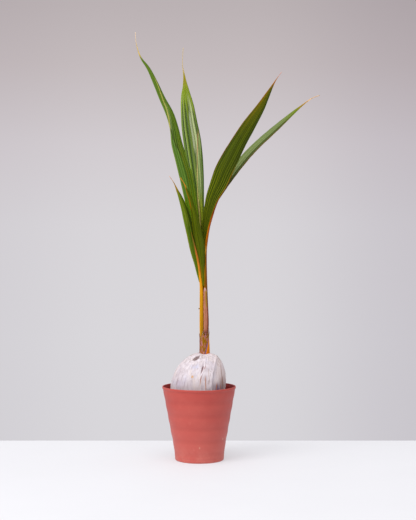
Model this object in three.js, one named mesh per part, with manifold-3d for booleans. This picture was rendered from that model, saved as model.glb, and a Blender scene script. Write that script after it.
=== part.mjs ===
// Potted coconut palm: a sprouted coconut with three forked young leaves in a wavy plastic pot.
// Millimetres, +Z up. The origin is the centre of the pot's underside.

import * as THREE from 'three';
import { mergeVertices } from 'three/addons/utils/BufferGeometryUtils.js';
import Module from 'manifold-3d';

const wasm = await Module();
wasm.setup();

// ---- Driving dimensions ----

const CLEARANCE = 0.3; // between pieces that touch

// Coconut: an upright husk with three blunt ridges, its crown leaning towards +X
const NUT_RADIUS = 75.5;
const NUT_HEIGHT = 200;
const NUT_ABOVE_RIM = 92;
const NUT_FLATTENING = 0.95; // depth over width
const NUT_RIDGE = 0.034; // how far a ridge stands out, as a share of the radius
const NUT_RIDGE_ANGLE = THREE.MathUtils.degToRad(-54);
const NUT_OFFSET = -1;
const NUT_LEAN = 15; // sideways shift of the crown
const NUT_LEAN_POWER = 1.3; // above 1 keeps the shift close to the crown
const NUT_SQUARENESS = 2.25; // exponent of the husk's side outline, 2 is an ellipse
const NUT_RINGS = 14;
const NUT_SIDES = 28;
const NUT_POLE = 0.035; // share of the side outline that is left flat at each pole

// Pot: thin tapered wall with level waves, a rolled lip and drain holes
const POT_HEIGHT = 200;
const RIM_GAP = 24.5; // from the husk out to the lip's edge
const FOOT_RADIUS = 65.5;
const WAIST_HEIGHT = 38; // the wall is steeper below this
const WAIST_RADIUS = 69.8;
const POT_WALL = 2.4;
const POT_FLOOR = 3;
const LIP_HEIGHT = 7;
const LIP_REACH = 1;
const LIP_ROUNDING = 1;
const WAVE_PITCH = 35;
const WAVE_DEPTH = 0.5;
const WAVE_START = 5; // height of the lowest crest
const WAVE_STEPS = 4; // rings of the wall in each wave
const POT_SIDES = 44; // flat sides round the pot and the soil
const FOOT_ROUNDING = 3;
const DRAIN_COUNT = 5;
const DRAIN_RADIUS = 5;
const DRAIN_CIRCLE = 42;
const DRAIN_SIDES = 10;

// Potting soil
const SOIL_DROP = 35; // from the rim down to the soil

// Foot of the shoot, which stands in a socket in the husk's crown
const SOCKET_DEPTH = 16;
const SHEATH_WALL = 1.2;
const SHEATH_HEIGHT = 69;
const SHEATH_TEAR = 6; // half the height difference round its torn top
const SHEATH_FRAY = 1.8; // size of the three smaller points along that top
const SHEATH_EASE = 1.2; // how loosely it wraps the three stalks
const SHEATH_SIDES = 20;
const SCALE_SIDES = 16;

// Stalks and leaf lobes
const STALK_SIDES = 10;
const STALK_DENSITY = 2; // rings for each row of a stalk's line
const LOBE_DENSITY = 1.5; // rings for each row of a lobe's line
const LOBE_THICKNESS = 1.2;
const LOBE_CROWN = 0.08; // rise of the middle fold over the width
const DRY_SHEATH_THICKNESS = 1;

// ---- Values that follow ----

const RIM_RADIUS = NUT_RADIUS + RIM_GAP;
const SOIL_TOP = POT_HEIGHT - SOIL_DROP;
const NUT_TOP = POT_HEIGHT + NUT_ABOVE_RIM;
const SHOOT_X = NUT_OFFSET + NUT_LEAN;
const SHOOT_FOOT = NUT_TOP - SOCKET_DEPTH + CLEARANCE;

// ---- Hand-set lines of the shoot, measured from the centre of its foot ----

// Stalks: x, y, z of the middle, then half the width and half the depth there
const SHORT_STALK = [
  [-5.2, -3.6, 0, 3.6, 3.8],
  [-6.2, -4.8, 58, 4.3, 4],
  [-6.7, -5.8, 80, 4.9, 4.3],
  [-6.6, -6, 125, 5, 4.3],
  [-6.8, -6.2, 165, 4.5, 4],
  [-8, -6.5, 196, 3.5, 3.4],
  [-11, -8, 223, 2.9, 2.9],
  [-14.6, -9, 252, 2.5, 2.4],
  [-21, -11, 284, 2, 2],
  [-28, -13.5, 312, 1.4, 1.4],
  [-35, -17, 341, 0.8, 0.8],
];
const RIGHT_STALK = [
  [4.8, -2, 0, 4.4, 4.6],
  [5.8, -2.5, 75, 5, 5],
  [6, -3, 105, 5.2, 5],
  [3.6, -4, 199, 3.8, 3.8],
  [3.2, -5, 283, 3.1, 3.1],
  [7, -5.5, 321, 2.7, 2.7],
  [13, -6, 355, 2.3, 2.3],
  [21, -6.5, 383, 2, 2],
  [30, -7.5, 411, 1.8, 1.8],
  [41, -8.5, 436, 1.6, 1.6],
  [60, -11, 467, 1.3, 1.3],
  [75, -14, 496, 0.8, 0.8],
];
const TALL_STALK = [
  [-1.5, 4.8, 0, 6, 4.2],
  [-2, 5, 120, 6, 4.4],
  [-5, 4.5, 199, 4.4, 3.6],
  [-8, 3.6, 264, 3.4, 2.8],
  [-10, 3.4, 324, 2.6, 2.2],
  [-12, 3.6, 384, 1.7, 1.5],
  [-15, 4.4, 430, 0.9, 0.9],
];

// Lobes: x, y, z of the middle, width, and the turn about that line in degrees
const SHORT_LEFT_LOBE = [
  [-11, -7, 207, 6, 0],
  [-17, -8.5, 234, 9, 10],
  [-21, -9, 256, 12.5, 15],
  [-29, -11.5, 294, 20, 25],
  [-38, -16, 342, 24, 30],
  [-46, -22, 378, 24, 30],
  [-54, -27, 407, 19.5, 30],
  [-64, -33, 435, 12, 25],
  [-72, -37, 453, 6, 10],
  [-81, -41, 473, 2, 0],
  [-93, -46, 491, 1.5, 0],
];
const SHORT_RIGHT_LOBE = [
  [-2.8, -9.5, 196, 4, 0],
  [-3, -9.2, 208, 7.5, 0],
  [-4, -8.8, 223, 10.5, 0],
  [-6, -8.8, 241, 14, -8],
  [-9.6, -10.5, 280, 21, -15],
  [-13, -13, 307, 26.5, -20],
  [-17.5, -18, 337, 26, -25],
  [-22.3, -24, 365, 22.5, -28],
  [-27, -30, 393, 18, -28],
  [-32, -34, 411, 13, -25],
  [-37, -39, 431, 10.5, -20],
  [-45, -43, 451, 7, -10],
  [-52, -47, 468, 2, 0],
  [-63, -52, 486, 1.5, 0],
];
const RIGHT_NEAR_LOBE = [
  [1, -4.5, 299, 6, 0],
  [1, -5, 321, 10, -5],
  [2.5, -6, 353, 16.5, -10],
  [7.5, -7, 383, 22.5, -12],
  [15, -9, 412, 29.5, -15],
  [23.5, -11, 439, 37, -15],
  [39.5, -15, 474, 47.5, -15],
  [54, -20, 509.5, 51, -15],
  [74, -26, 548, 49, -18],
  [94, -32, 584.5, 43.5, -20],
  [120, -40, 627, 38, -20],
  [146, -47, 666.5, 27.5, -20],
  [164, -53, 698, 16.5, -15],
  [180, -58, 727, 6.5, 0],
  [192, -61, 747, 2, 0],
  [206, -64, 766, 1.5, 0],
];
const RIGHT_FAR_LOBE = [
  [6.5, -2.2, 336, 5, -20],
  [12, -0.5, 372, 9, -30],
  [25, 5, 416, 14, -40],
  [54, 20, 470, 24.5, -52],
  [81, 36, 510, 34.5, -58],
  [101, 52, 538, 38.5, -60],
  [122, 68, 562, 39, -62],
  [153, 88, 591, 37.5, -64],
  [183, 106, 622, 34, -62],
  [220, 126, 653, 24, -55],
  [249, 142, 680, 13, -45],
  [275, 155, 702, 5, -20],
  [305, 168, 725, 2, 0],
  [330, 178, 736, 1.5, 0],
];
const TALL_LEFT_LOBE = [
  [-9, 0, 224, 7, 0],
  [-10.5, 0, 269, 13, 0],
  [-13, -0.5, 307, 18, 5],
  [-19.5, -0.5, 342, 25, 10],
  [-27, -0.5, 375, 29, 15],
  [-39, 1, 443, 36, 20],
  [-49, 6, 494, 39.5, 20],
  [-62, 12, 539, 36.5, 25],
  [-74, 19, 582, 33.5, 25],
  [-82, 27, 626, 26.5, 25],
  [-95, 34, 668, 23.5, 25],
  [-115, 42, 709, 17.5, 20],
  [-135, 50, 755, 14, 20],
  [-154, 57, 794, 9.5, 15],
  [-176, 62, 826, 4, 0],
  [-188, 66, 863, 1.6, 0],
  [-191, 70, 896, 1.4, 0],
];
const TALL_CENTRE_LOBE = [
  [-7, 8.5, 224, 9, 0],
  [-7, 7.5, 294, 14, 0],
  [-9.5, 7, 361, 16, 0],
  [-13, 8.5, 409, 22, 5],
  [-15, 11, 447, 29.5, 8],
  [-20, 15, 490, 39, 10],
  [-26, 20, 540, 46.5, 12],
  [-33, 25, 593, 49.5, 12],
  [-40, 29, 637, 45.5, 12],
  [-46, 34, 686, 37, 10],
  [-50, 37, 716, 27, 5],
  [-51.5, 38.5, 738, 16.5, 2],
  [-53.5, 41, 756, 9.5, 0],
  [-55.5, 43, 774, 5, 0],
  [-60, 46, 805, 1.6, 0],
  [-58, 52, 850, 1.4, 0],
];
// The dry sheath strip, as a lobe's rows
const DRY_SHEATH = [
  [3, -8.8, 58, 8, 10],
  [3.4, -9.4, 80, 9, 10],
  [3.2, -9.6, 125, 9.5, 8],
  [1.6, -9.8, 165, 8, 5],
  [0.6, -10.2, 184, 4, 0],
  [0.2, -10.8, 191, 1.5, 0],
];

// The thick pointed scale that clasps the sheath on the right, as a stalk's rows
const SCALE = [
  [8.6, -3.8, 0, 6.6, 7.6],
  [8.8, -3.8, 14, 6.4, 7.4],
  [10, -4.2, 28, 4.6, 5.4],
  [11.4, -4.6, 40, 2.4, 3],
  [12.5, -5, 49, 0.8, 0.8],
];

// ---- Mesh helpers ----

// A closed skin over rings of equal, even length, with a strip across each end.
function skin(rings) {
  const sides = rings[0].length;
  const positions = rings.flat().flatMap((point) => point.toArray());
  const index = [];
  for (let ring = 0; ring < rings.length - 1; ring++) {
    for (let side = 0; side < sides; side++) {
      const a = ring * sides + side;
      const b = ring * sides + ((side + 1) % sides);
      index.push(a, b, b + sides, a, b + sides, a + sides);
    }
  }
  const last = (rings.length - 1) * sides;
  for (let side = 0; side < sides / 2 - 1; side++) {
    const [a, b, c, d] = [side, side + 1, sides - 2 - side, sides - 1 - side];
    index.push(a, c, b, a, d, c);
    index.push(last + a, last + b, last + c, last + a, last + c, last + d);
  }
  const geometry = new THREE.BufferGeometry();
  geometry.setAttribute('position', new THREE.Float32BufferAttribute(positions, 3));
  geometry.setIndex(index);
  return geometry;
}

// A closed geometry as a manifold solid, with shared corners merged and collapsed faces left out.
const MERGE_DISTANCE = 1e-3;

function toSolid(geometry) {
  const bare = geometry.clone();
  bare.deleteAttribute('normal');
  bare.deleteAttribute('uv');
  const merged = mergeVertices(bare, MERGE_DISTANCE);
  const corners = Array.from(merged.index.array);
  const faces = [];
  for (let i = 0; i < corners.length; i += 3) {
    const [a, b, c] = corners.slice(i, i + 3);
    if (a !== b && b !== c && c !== a) faces.push(a, b, c);
  }
  const vertProperties = Float32Array.from(merged.attributes.position.array);
  return new wasm.Manifold(new wasm.Mesh({ numProp: 3, vertProperties, triVerts: Uint32Array.from(faces) }));
}

function toGeometry(solid) {
  const mesh = solid.getMesh();
  const geometry = new THREE.BufferGeometry();
  geometry.setAttribute('position', new THREE.BufferAttribute(mesh.vertProperties, 3));
  geometry.setIndex(new THREE.BufferAttribute(mesh.triVerts, 1));
  geometry.computeVertexNormals();
  return geometry;
}

// Cuts away every neighbour and keeps the largest piece that is left.
function trimmed(geometry, neighbours) {
  const cut = neighbours.reduce((rest, neighbour) => rest.subtract(toSolid(neighbour)), toSolid(geometry));
  const pieces = cut.decompose().sort((one, other) => other.volume() - one.volume());
  return toGeometry(pieces[0]);
}

// Stations along a hand-set line: a smooth middle line, the across and depth directions, and the other values.
function stations(rows, count) {
  const line = new THREE.CatmullRomCurve3(rows.map(([x, y, z]) => new THREE.Vector3(x, y, z)));
  const sizes = new THREE.CatmullRomCurve3(rows.map((row) => new THREE.Vector3(row[3], row[4], 0)));
  const back = new THREE.Vector3(0, 1, 0);
  return Array.from({ length: count }, (_, step) => {
    const t = step / (count - 1);
    const along = line.getTangent(t);
    const across = new THREE.Vector3().crossVectors(back, along).normalize();
    const depth = new THREE.Vector3().crossVectors(along, across);
    const size = sizes.getPoint(t);
    return { middle: line.getPoint(t), across, depth, first: size.x, second: size.y };
  });
}

// A tapering stalk of oval section, or the space round it out to `grow`.
function stalkGeometry(rows, grow = 0, sides = STALK_SIDES) {
  const count = STALK_DENSITY * rows.length;
  const rings = stations(rows, count).map(({ middle, across, depth, first, second }, step) => {
    const lift = grow * (Number(step === count - 1) - Number(step === 0));
    return Array.from({ length: sides }, (_, side) => {
      const angle = (2 * Math.PI * side) / sides;
      return middle.clone()
        .addScaledVector(across, (first + grow) * Math.cos(angle))
        .addScaledVector(depth, (second + grow) * Math.sin(angle))
        .add(new THREE.Vector3(0, 0, lift));
    });
  });
  return skin(rings);
}

// A thin lobe, folded a little along its middle, or the space round it out to `grow`.
function lobeGeometry(rows, bareThickness = LOBE_THICKNESS, grow = 0) {
  const thickness = bareThickness + 2 * grow;
  const places = [-1, -0.5, 0, 0.5, 1];
  const count = Math.ceil(LOBE_DENSITY * rows.length);
  const rings = stations(rows, count).map(({ middle, across, depth, first, second }) => {
    const width = Math.max(first, bareThickness) + 2 * grow;
    const turn = THREE.MathUtils.degToRad(second);
    const side = across.clone().multiplyScalar(Math.cos(turn)).addScaledVector(depth, Math.sin(turn));
    const face = depth.clone().multiplyScalar(Math.cos(turn)).addScaledVector(across, -Math.sin(turn));
    const point = (place, lift) => middle.clone()
      .addScaledVector(side, (place * width) / 2)
      .addScaledVector(face, lift - LOBE_CROWN * width * (1 - Math.abs(place)));
    const front = places.map((place) => point(place, -thickness / 2));
    const rear = places.map((place) => point(place, thickness / 2)).reverse();
    return [...front, ...rear];
  });
  return skin(rings);
}

function lathe(profile) {
  const geometry = new THREE.LatheGeometry(profile.map(([r, z]) => new THREE.Vector2(r, z)), POT_SIDES);
  return geometry.rotateX(Math.PI / 2);
}

// ---- Pot ----

function potTaper(z) {
  if (z < WAIST_HEIGHT) return THREE.MathUtils.mapLinear(z, 0, WAIST_HEIGHT, FOOT_RADIUS, WAIST_RADIUS);
  return THREE.MathUtils.mapLinear(z, WAIST_HEIGHT, POT_HEIGHT, WAIST_RADIUS, RIM_RADIUS - LIP_REACH);
}

function potOutside(z) {
  return potTaper(z) + WAVE_DEPTH * Math.cos((2 * Math.PI * (z - WAVE_START)) / WAVE_PITCH);
}

function potInside(z) {
  return potTaper(z) - POT_WALL;
}

function potGeometry() {
  const lipBottom = POT_HEIGHT - LIP_HEIGHT;
  const profile = [[0, 0], [potTaper(0) - FOOT_ROUNDING, 0], [potTaper(0), FOOT_ROUNDING]];
  const step = WAVE_PITCH / WAVE_STEPS;
  for (let z = FOOT_ROUNDING + step; z < lipBottom - step / 2; z += step) profile.push([potOutside(z), z]);
  profile.push(
    [potTaper(lipBottom), lipBottom],
    [RIM_RADIUS, lipBottom + LIP_ROUNDING],
    [RIM_RADIUS, POT_HEIGHT - LIP_ROUNDING],
    [RIM_RADIUS - LIP_ROUNDING, POT_HEIGHT],
    [potInside(POT_HEIGHT) + LIP_ROUNDING, POT_HEIGHT],
    [potInside(POT_HEIGHT - LIP_ROUNDING), POT_HEIGHT - LIP_ROUNDING],
    [potInside(WAIST_HEIGHT), WAIST_HEIGHT],
    [potInside(POT_FLOOR + FOOT_ROUNDING), POT_FLOOR + FOOT_ROUNDING],
    [potInside(POT_FLOOR) - FOOT_ROUNDING, POT_FLOOR],
    [0, POT_FLOOR],
  );
  let solid = toSolid(lathe(profile));
  for (let hole = 0; hole < DRAIN_COUNT; hole++) {
    const angle = (2 * Math.PI * hole) / DRAIN_COUNT;
    const drill = new THREE.CylinderGeometry(DRAIN_RADIUS, DRAIN_RADIUS, 4 * POT_FLOOR, DRAIN_SIDES);
    drill.rotateX(Math.PI / 2);
    drill.translate(DRAIN_CIRCLE * Math.cos(angle), DRAIN_CIRCLE * Math.sin(angle), 0);
    solid = solid.subtract(toSolid(drill));
  }
  return toGeometry(solid);
}

// ---- Coconut ----

// The husk, or the space round it out to `grow`.
function nutGeometry(grow = 0) {
  const rings = [];
  const reach = NUT_HEIGHT / 2;
  for (let ring = 0; ring < NUT_RINGS; ring++) {
    const climb = THREE.MathUtils.mapLinear(ring, 0, NUT_RINGS - 1, NUT_POLE, 1 - NUT_POLE) * Math.PI;
    const rise = -Math.sign(Math.cos(climb)) * Math.abs(Math.cos(climb)) ** (2 / NUT_SQUARENESS);
    const radius = NUT_RADIUS * Math.sin(climb) ** (2 / NUT_SQUARENESS) + grow;
    const middle = NUT_OFFSET + NUT_LEAN * Math.max(rise, 0) ** NUT_LEAN_POWER;
    rings.push(Array.from({ length: NUT_SIDES }, (_, side) => {
      const angle = (2 * Math.PI * side) / NUT_SIDES;
      const ridged = radius * (1 + NUT_RIDGE * Math.cos(3 * (angle - NUT_RIDGE_ANGLE)));
      return new THREE.Vector3(
        middle + ridged * Math.cos(angle),
        NUT_FLATTENING * ridged * Math.sin(angle),
        NUT_TOP - reach + (reach + grow) * rise,
      );
    }));
  }
  return skin(rings);
}

// ---- Foot of the shoot ----

// Half sizes and middle of the box round the three stalks' feet, which the fibre sheath wraps.
function bundleSize() {
  const feet = [SHORT_STALK, RIGHT_STALK, TALL_STALK].map((rows) => rows[0]);
  const left = Math.min(...feet.map(([x, , , halfWidth]) => x - halfWidth));
  const right = Math.max(...feet.map(([x, , , halfWidth]) => x + halfWidth));
  const front = Math.min(...feet.map(([, y, , , halfDepth]) => y - halfDepth));
  const rear = Math.max(...feet.map(([, y, , , halfDepth]) => y + halfDepth));
  return { x: (left + right) / 2, y: (front + rear) / 2, width: (right - left) / 2, depth: (rear - front) / 2 };
}

// The space that the sheath fills out to `grow` beyond its inside; its torn top is higher on the left.
function wrapGeometry(grow, floor, height) {
  const { x, y, width, depth } = bundleSize();
  const rings = [0, 0.5, 1].map((share) => Array.from({ length: SHEATH_SIDES }, (_, side) => {
    const angle = (2 * Math.PI * side) / SHEATH_SIDES;
    const tear = share * (SHEATH_FRAY * Math.cos(3 * angle) - SHEATH_TEAR * Math.cos(angle));
    return new THREE.Vector3(
      x + (width * SHEATH_EASE + CLEARANCE + grow) * Math.cos(angle),
      y + (depth * SHEATH_EASE + CLEARANCE + grow) * Math.sin(angle),
      floor + (height - floor) * share + tear,
    );
  }));
  return skin(rings);
}

function fibreSheathGeometry() {
  const outside = toSolid(wrapGeometry(SHEATH_WALL, 0, SHEATH_HEIGHT));
  const shell = outside.subtract(toSolid(wrapGeometry(0, -SOCKET_DEPTH, 2 * SHEATH_HEIGHT)));
  const stalks = [SHORT_STALK, RIGHT_STALK, TALL_STALK].map((rows) => stalkGeometry(rows, CLEARANCE));
  return trimmed(toGeometry(shell), stalks);
}

// ---- The scene ----

function coloured(color, roughness) {
  return new THREE.MeshStandardMaterial({ color, roughness, metalness: 0 });
}

function piece(name, geometry, material) {
  const mesh = new THREE.Mesh(geometry, material);
  mesh.name = name;
  return mesh;
}

const terracotta = coloured(0xc2605a, 0.45);
const darkSoil = coloured(0x33261d, 0.95);
const paleHusk = coloured(0xcfcbcb, 0.9);
const orangeScale = coloured(0xd8842e, 0.6);
const mottledFibre = coloured(0x8d6d62, 0.9);
const drySheath = coloured(0x9a6f66, 0.85);
const amberStalk = coloured(0xcf9220, 0.5);
const brownStalk = coloured(0x8a5a2a, 0.55);
const paleStalk = coloured(0xa8994f, 0.55);
const deepGreen = coloured(0x3f5a1c, 0.5);
const oliveGreen = coloured(0x465509, 0.5);
const paleGreen = coloured(0x6e8c46, 0.5);

const palm = new THREE.Group();

// The shoot's own frame stands on the floor of the socket in the nut.
const shoot = new THREE.Group();
shoot.position.set(SHOOT_X, 0, SHOOT_FOOT);

const shortStalk = stalkGeometry(SHORT_STALK, CLEARANCE);
const rightStalk = stalkGeometry(RIGHT_STALK, CLEARANCE);
const tallStalk = stalkGeometry(TALL_STALK, CLEARANCE);
const stalks = [shortStalk, rightStalk, tallStalk];
const sheathSpace = wrapGeometry(SHEATH_WALL + CLEARANCE, -CLEARANCE, 2 * SHEATH_HEIGHT);
const sheathBelow = wrapGeometry(SHEATH_WALL + CLEARANCE, 0, SHEATH_HEIGHT + CLEARANCE);

shoot.add(
  piece('short_leaf_stalk', stalkGeometry(SHORT_STALK), amberStalk),
  piece('right_leaf_stalk', stalkGeometry(RIGHT_STALK), brownStalk),
  piece('tall_leaf_stalk', trimmed(stalkGeometry(TALL_STALK), [shortStalk, rightStalk]), paleStalk),
  piece('fibre_sheath', fibreSheathGeometry(), mottledFibre),
  piece('scale_sheath', trimmed(stalkGeometry(SCALE, 0, SCALE_SIDES), [sheathSpace]), orangeScale),
  piece('dry_sheath', trimmed(lobeGeometry(DRY_SHEATH, DRY_SHEATH_THICKNESS), [...stalks, sheathBelow]), drySheath),
);

// The lobes from front to rear: each leaves room for the stalks and for the lobes in front of it.
const lobes = [
  ['short_leaf_right_lobe', SHORT_RIGHT_LOBE, deepGreen],
  ['short_leaf_left_lobe', SHORT_LEFT_LOBE, deepGreen],
  ['right_leaf_near_lobe', RIGHT_NEAR_LOBE, oliveGreen],
  ['right_leaf_far_lobe', RIGHT_FAR_LOBE, paleGreen],
  ['tall_leaf_left_lobe', TALL_LEFT_LOBE, deepGreen],
  ['tall_leaf_centre_lobe', TALL_CENTRE_LOBE, deepGreen],
];
const inFront = [...stalks];
for (const [name, rows, material] of lobes) {
  shoot.add(piece(name, trimmed(lobeGeometry(rows), inFront), material));
  inFront.push(lobeGeometry(rows, LOBE_THICKNESS, CLEARANCE));
}

// The husk's socket is the space of the sheath and the scale, grown by the clearance.
function socketedNut() {
  const scaleSpace = stalkGeometry(SCALE, CLEARANCE, SCALE_SIDES);
  const spaces = [sheathSpace, scaleSpace].map((space) => space.clone().translate(SHOOT_X, 0, SHOOT_FOOT));
  return trimmed(nutGeometry(), spaces);
}

// The soil fills the pot round the nut.
function soilGeometry() {
  const floor = POT_FLOOR + CLEARANCE;
  const profile = [
    [0, floor],
    [potInside(floor) - FOOT_ROUNDING - CLEARANCE, floor],
    [potInside(floor + FOOT_ROUNDING) - CLEARANCE, floor + FOOT_ROUNDING],
    [potInside(WAIST_HEIGHT) - CLEARANCE, WAIST_HEIGHT],
    [potInside(SOIL_TOP) - CLEARANCE, SOIL_TOP],
    [0, SOIL_TOP],
  ];
  return trimmed(lathe(profile), [nutGeometry(CLEARANCE)]);
}

palm.add(
  piece('pot', potGeometry(), terracotta),
  piece('potting_soil', soilGeometry(), darkSoil),
  piece('coconut_husk', socketedNut(), paleHusk),
  shoot,
);

export default palm;
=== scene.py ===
import math
import random

import bpy
import numpy as np
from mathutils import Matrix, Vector, noise


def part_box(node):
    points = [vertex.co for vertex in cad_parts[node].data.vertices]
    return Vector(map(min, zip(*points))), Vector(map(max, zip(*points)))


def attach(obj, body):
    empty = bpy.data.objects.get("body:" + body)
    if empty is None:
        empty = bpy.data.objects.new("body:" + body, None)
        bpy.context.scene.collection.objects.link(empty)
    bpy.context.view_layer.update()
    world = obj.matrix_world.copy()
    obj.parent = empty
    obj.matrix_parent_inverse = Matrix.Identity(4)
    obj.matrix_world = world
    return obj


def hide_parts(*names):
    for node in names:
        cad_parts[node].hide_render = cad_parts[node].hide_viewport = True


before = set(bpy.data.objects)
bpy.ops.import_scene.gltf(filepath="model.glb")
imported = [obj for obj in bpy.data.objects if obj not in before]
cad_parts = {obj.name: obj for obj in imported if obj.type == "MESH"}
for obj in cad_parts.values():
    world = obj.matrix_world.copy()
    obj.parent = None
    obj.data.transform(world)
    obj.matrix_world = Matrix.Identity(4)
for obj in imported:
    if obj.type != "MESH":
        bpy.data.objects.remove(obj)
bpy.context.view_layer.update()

MM = 0.001  # the makers' sizes below are in millimetres


# ---- The table, the light and the camera ----
# A pale matte table top that ends a little way behind the pot, in a bright room: a large soft
# lamp stands in front on the left, another hangs overhead, and the walls give an even grey light.

def rgb(red, green, blue, alpha=1):
    """A colour picked on screen, 0 to 255, as the linear colour that the shaders take."""
    channels = []
    for value in (red, green, blue):
        share = value / 255
        channels.append(share / 12.92 if share <= 0.04045 else ((share + 0.055) / 1.055) ** 2.4)
    return (*channels, alpha)


class Value:
    """A shader socket that Python arithmetic adds Math nodes to."""

    def __init__(self, finish, socket):
        self.finish = finish
        self.socket = socket

    def math(self, operation, *values, clamp=False):
        inputs = dict(enumerate(values))
        return self.finish.node("ShaderNodeMath", {"operation": operation, "use_clamp": clamp}, inputs)

    def __add__(self, other):
        return self.math("ADD", self, other)

    __radd__ = __add__

    def __sub__(self, other):
        return self.math("SUBTRACT", self, other)

    def __rsub__(self, other):
        return self.math("SUBTRACT", other, self)

    def __mul__(self, other):
        return self.math("MULTIPLY", self, other)

    __rmul__ = __mul__

    def __truediv__(self, other):
        return self.math("DIVIDE", self, other)

    def __pow__(self, other):
        return self.math("POWER", self, other)

    def size(self):
        return self.math("ABSOLUTE", self)

    def cosine(self):
        return self.math("COSINE", self)

    def clamped(self):
        return self.math("ADD", self, 0, clamp=True)

    def rising(self, low, high):
        """0 below low, 1 above high, and smooth between them."""
        span = {0: self, 1: low, 2: high, 3: 0, 4: 1}
        return self.finish.node("ShaderNodeMapRange", {"interpolation_type": "SMOOTHSTEP"}, span)

    def band(self, low, high, soft):
        """1 from low to high, with soft ends outside them."""
        return self.rising(low - soft, low) * (1 - self.rising(high, high + soft))


class Finish:
    """A procedural material, built one node at a time; colour is its colour so far."""

    def __init__(self, name, tree=None):
        if tree is None:
            self.material = bpy.data.materials.new(name)
            self.material.use_nodes = True
            tree = self.material.node_tree
        tree.nodes.clear()
        self.tree = tree
        self.colour = None

    def node(self, kind, settings=None, inputs=None, output=0):
        made = self.tree.nodes.new(kind)
        for name, value in (settings or {}).items():
            if name == "stops":
                while len(made.color_ramp.elements) < len(value):
                    made.color_ramp.elements.new(0.5)
                for element, (place, *colour) in zip(made.color_ramp.elements, value):
                    element.position = place
                    element.color = rgb(*colour)
            else:
                setattr(made, name, value)
        for key, value in (inputs or {}).items():
            if isinstance(value, Value):
                self.tree.links.new(value.socket, made.inputs[key])
            else:
                made.inputs[key].default_value = value
        return Value(self, made.outputs[output]) if made.outputs else None

    def place(self):
        """Where a point of the surface is, as a vector in metres."""
        return self.node("ShaderNodeTexCoord", output="Object")

    def number(self, name):
        """A number kept at each vertex of the mesh."""
        return self.node("ShaderNodeAttribute", {"attribute_name": name}, output="Fac")

    def axes(self):
        """The same place as three numbers in millimetres."""
        metres = self.place()
        return [self.node("ShaderNodeSeparateXYZ", None, {0: metres}, axis) * 1000 for axis in range(3)]

    def grain(self, scale, detail=3, roughness=0.55, upright=1, shift=0):
        """Cloudy noise, 0 to 1; upright below 1 draws it out into upright streaks."""
        moves = {0: self.place(), 1: (shift, 0, 0), 3: (1, 1, upright)}
        mapped = self.node("ShaderNodeMapping", None, moves)
        inputs = {"Vector": mapped, "Scale": scale, "Detail": detail, "Roughness": roughness}
        return self.node("ShaderNodeTexNoise", None, inputs)

    def mixed(self, mask, first, second, how="MIX"):
        """The first colour where the mask is 0 and the second where it is 1."""
        settings = {"data_type": "RGBA", "blend_type": how}
        return self.node("ShaderNodeMix", settings, {0: mask, 6: first, 7: second}, 2)

    def lay(self, mask, red, green, blue):
        """Lays a colour picked on screen over the rest, where the mask is 1."""
        self.colour = self.mixed(mask, self.colour, rgb(red, green, blue))

    def ramp(self, value, stops):
        return self.node("ShaderNodeValToRGB", {"stops": stops}, {0: value})

    def spot(self, centre, radii, inner=0.3):
        """1 within an egg-shaped space round a centre in millimetres, fading to 0 at its edge."""
        metres = tuple(value * MM for value in centre)
        offset = self.node("ShaderNodeVectorMath", {"operation": "SUBTRACT"}, {0: self.place(), 1: metres})
        scale = tuple(1 / (value * MM) for value in radii)
        share = self.node("ShaderNodeVectorMath", {"operation": "MULTIPLY"}, {0: offset, 1: scale})
        distance = self.node("ShaderNodeVectorMath", {"operation": "LENGTH"}, {0: share}, 1)
        return 1 - distance.rising(inner, 1)

    def surface(self, rough, gloss, height, distance, strength, more=None):
        """The finished surface; a height of 1 stands up out of it by distance, in metres."""
        bump = {"Height": height, "Distance": distance, "Strength": strength}
        shader = {"Base Color": self.colour, "Roughness": rough, "Specular IOR Level": gloss,
                  "Normal": self.node("ShaderNodeBump", None, bump)}
        face = self.node("ShaderNodeBsdfPrincipled", None, shader | (more or {}))
        self.node("ShaderNodeOutputMaterial", None, {"Surface": face})
        return self.material


def linked(name, data):
    made = bpy.data.objects.new(name, data)
    bpy.context.scene.collection.objects.link(made)
    return made


def add_object(name, vertices, faces, material, attributes=None, smooth=True):
    """A mesh object in the part's own frame; attributes are numbers kept at each vertex."""
    mesh = bpy.data.meshes.new(name)
    mesh.from_pydata([tuple(vertex) for vertex in vertices], [], faces)
    for key, values in (attributes or {}).items():
        layer = mesh.attributes.new(key, "FLOAT", "POINT")
        layer.data.foreach_set("value", np.asarray(values, dtype=np.float32))
    mesh.validate()
    mesh.polygons.foreach_set("use_smooth", [smooth] * len(mesh.polygons))
    mesh.materials.append(material)
    return linked(name, mesh)


def table_finish():
    finish = Finish("table_top")
    cloud = finish.grain(3, 2)
    finish.colour = finish.mixed(cloud, rgb(158, 158, 161), rgb(164, 164, 167))
    glow = {"Emission Color": rgb(188, 188, 191), "Emission Strength": 0.82}
    return finish.surface(0.7, 0.2, finish.grain(900), 0.0001, 0.3, glow)


TABLE_FRONT, TABLE_REAR, TABLE_SIDE = -2.6, 0.305, 2.6
table_corners = [(-TABLE_SIDE, TABLE_FRONT, 0), (TABLE_SIDE, TABLE_FRONT, 0),
                 (TABLE_SIDE, TABLE_REAR, 0), (-TABLE_SIDE, TABLE_REAR, 0)]
table = add_object("table_top", table_corners, [(0, 1, 2, 3)], table_finish())

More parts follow.
